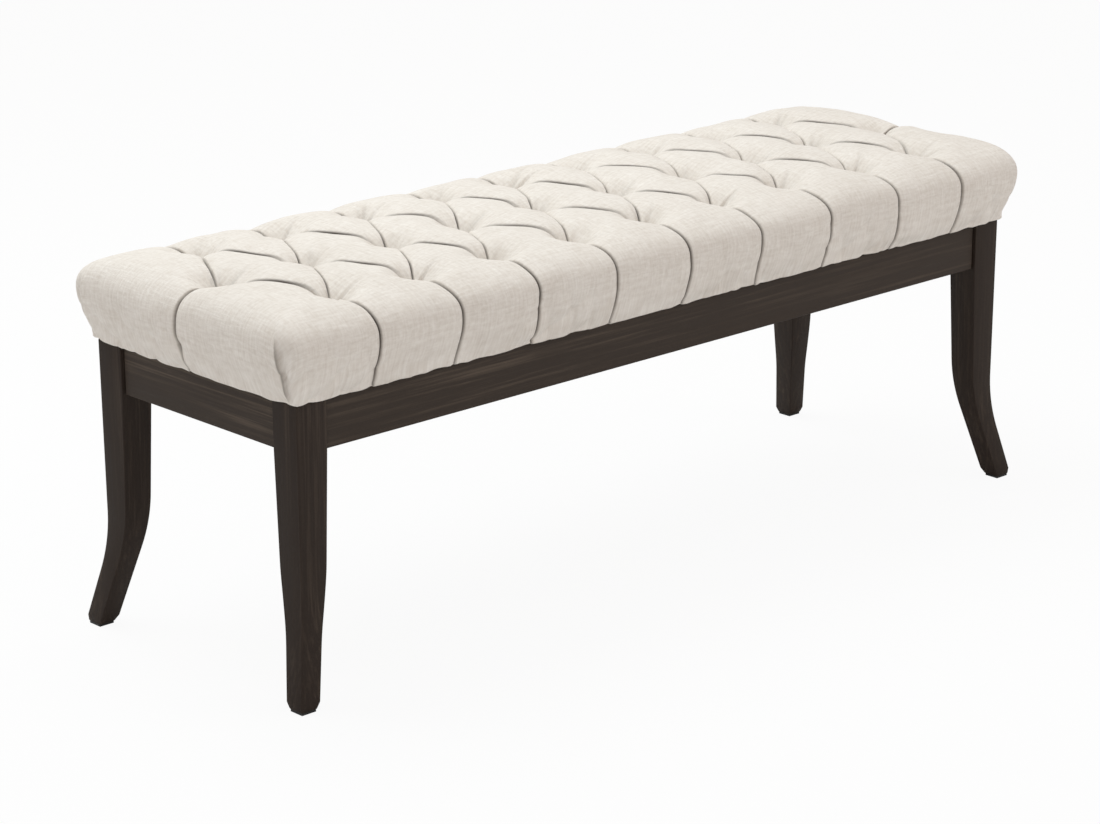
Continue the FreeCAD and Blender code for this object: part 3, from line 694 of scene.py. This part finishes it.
raw_wood, wire = new_material("raw_hardwood")
place = wire.node("ShaderNodeTexCoord", {}, {}, 3)
grain = wire.noise(place, (160, 9, 160), 1.0, 4.0, 0.6)
rays = wire.noise(place, (900, 120, 900), 1.0, 2.0).between(0.55, 0.75)
colour = (grain + rays * 0.25).mix((0.44, 0.29, 0.17, 1), (0.70, 0.54, 0.36, 1))
bump = wire.node("ShaderNodeBump", {}, {"Strength": 0.25, "Distance": 0.0003, "Height": grain})
wire.surface({"Base Color": colour, "Roughness": 0.6 + grain * 0.2, "Normal": bump})

# Dust cover, glides, twine and steel: black non-woven cloth, moulded feet, waxed cord and zinc plate.
# They keep their CAD shapes and get a material of their own.
black_cloth, wire = new_material("black_cloth")
place = wire.node("ShaderNodeTexCoord", {}, {}, 3)
dimples = wire.node("ShaderNodeTexVoronoi", {}, {"Vector": place, "Scale": 620.0})
fibres = wire.noise(place, (900, 900, 900), 1.0, 3.0)
relief = dimples + fibres * 0.4
bump = wire.node("ShaderNodeBump", {}, {"Strength": 0.5, "Distance": 0.0004, "Height": relief})
colour = fibres.mix((0.008, 0.008, 0.009, 1), (0.030, 0.030, 0.032, 1))
wire.surface({"Base Color": colour, "Roughness": 0.9, "Normal": bump})

black_plastic, wire = new_material("black_plastic")
place = wire.node("ShaderNodeTexCoord", {}, {}, 3)
grit = wire.noise(place, (1800, 1800, 1800), 1.0, 2.0)
scuff = wire.noise(place, (120, 120, 120), 1.0, 3.0).between(0.55, 0.8)
bump = wire.node("ShaderNodeBump", {}, {"Strength": 0.3, "Distance": 0.0002, "Height": grit})
colour = scuff.mix((0.018, 0.018, 0.018, 1), (0.07, 0.068, 0.065, 1))
wire.surface({"Base Color": colour, "Roughness": 0.45 + scuff * 0.3, "Normal": bump})

twine, wire = new_material("twine")
place = wire.node("ShaderNodeTexCoord", {}, {}, 3)
lay_inputs = {"Vector": place, "Scale": 420.0, "Distortion": 1.5}
lay = wire.node("ShaderNodeTexWave", {"bands_direction": "DIAGONAL"}, lay_inputs)
bump = wire.node("ShaderNodeBump", {}, {"Strength": 0.6, "Distance": 0.0003, "Height": lay})
colour = lay.mix((0.55, 0.47, 0.32, 1), (0.80, 0.73, 0.57, 1))
wire.surface({"Base Color": colour, "Roughness": 0.7, "Normal": bump})

plated_steel, wire = new_material("plated_steel")
place = wire.node("ShaderNodeTexCoord", {}, {}, 3)
turned = wire.noise(place, (60, 60, 900), 1.0, 3.0)
dull = wire.noise(place, (150, 150, 150), 1.0, 3.0)
bump = wire.node("ShaderNodeBump", {}, {"Strength": 0.2, "Distance": 0.0002, "Height": turned})
colour = dull.mix((0.52, 0.52, 0.50, 1), (0.70, 0.70, 0.68, 1))
wire.surface({"Base Color": colour, "Metallic": 1.0, "Roughness": 0.28 + dull * 0.3, "Normal": bump})

for material, names in (
    (plywood, ("seat_board",)),
    (raw_wood, ("left_cross_rail", "right_cross_rail")),
    (raw_wood, ("front_left_block", "front_right_block", "back_left_block", "back_right_block")),
    (black_cloth, ("dust_cover",)),
    (black_plastic, ("front_left_glide", "front_right_glide", "back_left_glide", "back_right_glide")),
    (twine, ("tufting_twine",)),
    (plated_steel, ("twine_plates", "hanger_bolts", "bolt_washers", "bolt_nuts", "seat_screws")),
):
    for name in names:
        for slot in nodes[name].material_slots:
            slot.material = material

# Staples: bent steel wire that tacks the dust cover under the seat, one every few centimetres.
# Their row follows the cloth's edge, so a node tree sets one staple at each step along it.
cloth_low, cloth_high = (Vector(corner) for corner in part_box("dust_cover"))
staple_pitch, staple_inset, staple_width, staple_wire = 0.042, 0.009, 0.011, 0.0006
row = bpy.data.meshes.new("staple_row")
left, right = cloth_low.x + staple_inset, cloth_high.x - staple_inset
front, back = cloth_low.y + staple_inset, cloth_high.y - staple_inset
corner_gap, staple_skew = 0.06, 0.12
row_ends = [(x, y, 0) for y in (front, back) for x in (left + corner_gap, right - corner_gap)]
row_ends += [(x, y, 0) for x in (left, right) for y in (front + corner_gap, back - corner_gap)]
row.from_pydata(row_ends, [(0, 1), (2, 3), (4, 5), (6, 7)], [])
row.transform(Matrix.Translation((0, 0, cloth_low.z - staple_wire / 2)))
staples = bpy.data.objects.new("staples", row)
bpy.context.scene.collection.objects.link(staples)
tree = bpy.data.node_groups.new("staple_setting", "GeometryNodeTree")
tree.interface.new_socket("Geometry", in_out="INPUT", socket_type="NodeSocketGeometry")
pitch_input = tree.interface.new_socket("Pitch", in_out="INPUT", socket_type="NodeSocketFloat")
width_input = tree.interface.new_socket("Width", in_out="INPUT", socket_type="NodeSocketFloat")
wire_input = tree.interface.new_socket("Wire", in_out="INPUT", socket_type="NodeSocketFloat")
tree.interface.new_socket("Geometry", in_out="OUTPUT", socket_type="NodeSocketGeometry")
given, result = tree.nodes.new("NodeGroupInput"), tree.nodes.new("NodeGroupOutput")
to_curve = tree.nodes.new("GeometryNodeMeshToCurve")
steps = tree.nodes.new("GeometryNodeCurveToPoints")
steps.mode = "LENGTH"
turn_about = tree.nodes.new("ShaderNodeVectorRotate")
turn_about.rotation_type = "Z_AXIS"
skew = tree.nodes.new("FunctionNodeRandomValue")
skew.data_type = "FLOAT"
skew.inputs["Min"].default_value, skew.inputs["Max"].default_value = -staple_skew, staple_skew
skew.inputs["Seed"].default_value = 4
facing = tree.nodes.new("FunctionNodeAlignEulerToVector")
facing.axis = "X"
crown_wire = tree.nodes.new("GeometryNodeMeshCube")
crown_size = tree.nodes.new("ShaderNodeCombineXYZ")
place_on = tree.nodes.new("GeometryNodeInstanceOnPoints")
realise = tree.nodes.new("GeometryNodeRealizeInstances")
paint = tree.nodes.new("GeometryNodeSetMaterial")
paint.inputs["Material"].default_value = plated_steel
link = tree.links.new
link(given.outputs["Geometry"], to_curve.inputs["Mesh"])
link(to_curve.outputs["Curve"], steps.inputs["Curve"])
link(given.outputs["Pitch"], steps.inputs["Length"])
link(steps.outputs["Tangent"], turn_about.inputs["Vector"])
link(skew.outputs[1], turn_about.inputs["Angle"])
link(turn_about.outputs["Vector"], facing.inputs["Vector"])
link(given.outputs["Width"], crown_size.inputs["X"])
link(given.outputs["Wire"], crown_size.inputs["Y"])
link(given.outputs["Wire"], crown_size.inputs["Z"])
link(crown_size.outputs["Vector"], crown_wire.inputs["Size"])
link(steps.outputs["Points"], place_on.inputs["Points"])
link(crown_wire.outputs["Mesh"], place_on.inputs["Instance"])
link(facing.outputs["Rotation"], place_on.inputs["Rotation"])
link(place_on.outputs["Instances"], realise.inputs["Geometry"])
link(realise.outputs["Geometry"], paint.inputs["Geometry"])
link(paint.outputs["Geometry"], result.inputs["Geometry"])
setting = staples.modifiers.new("setting", "NODES")
setting.node_group = tree
for socket, value in ((pitch_input, staple_pitch), (width_input, staple_width), (wire_input, staple_wire)):
    setting[socket.identifier] = value
plain_mesh = bpy.data.meshes.new_from_object(staples.evaluated_get(bpy.context.evaluated_depsgraph_get()))
staples.modifiers.clear()
staples.data = plain_mesh
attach(staples, "root")
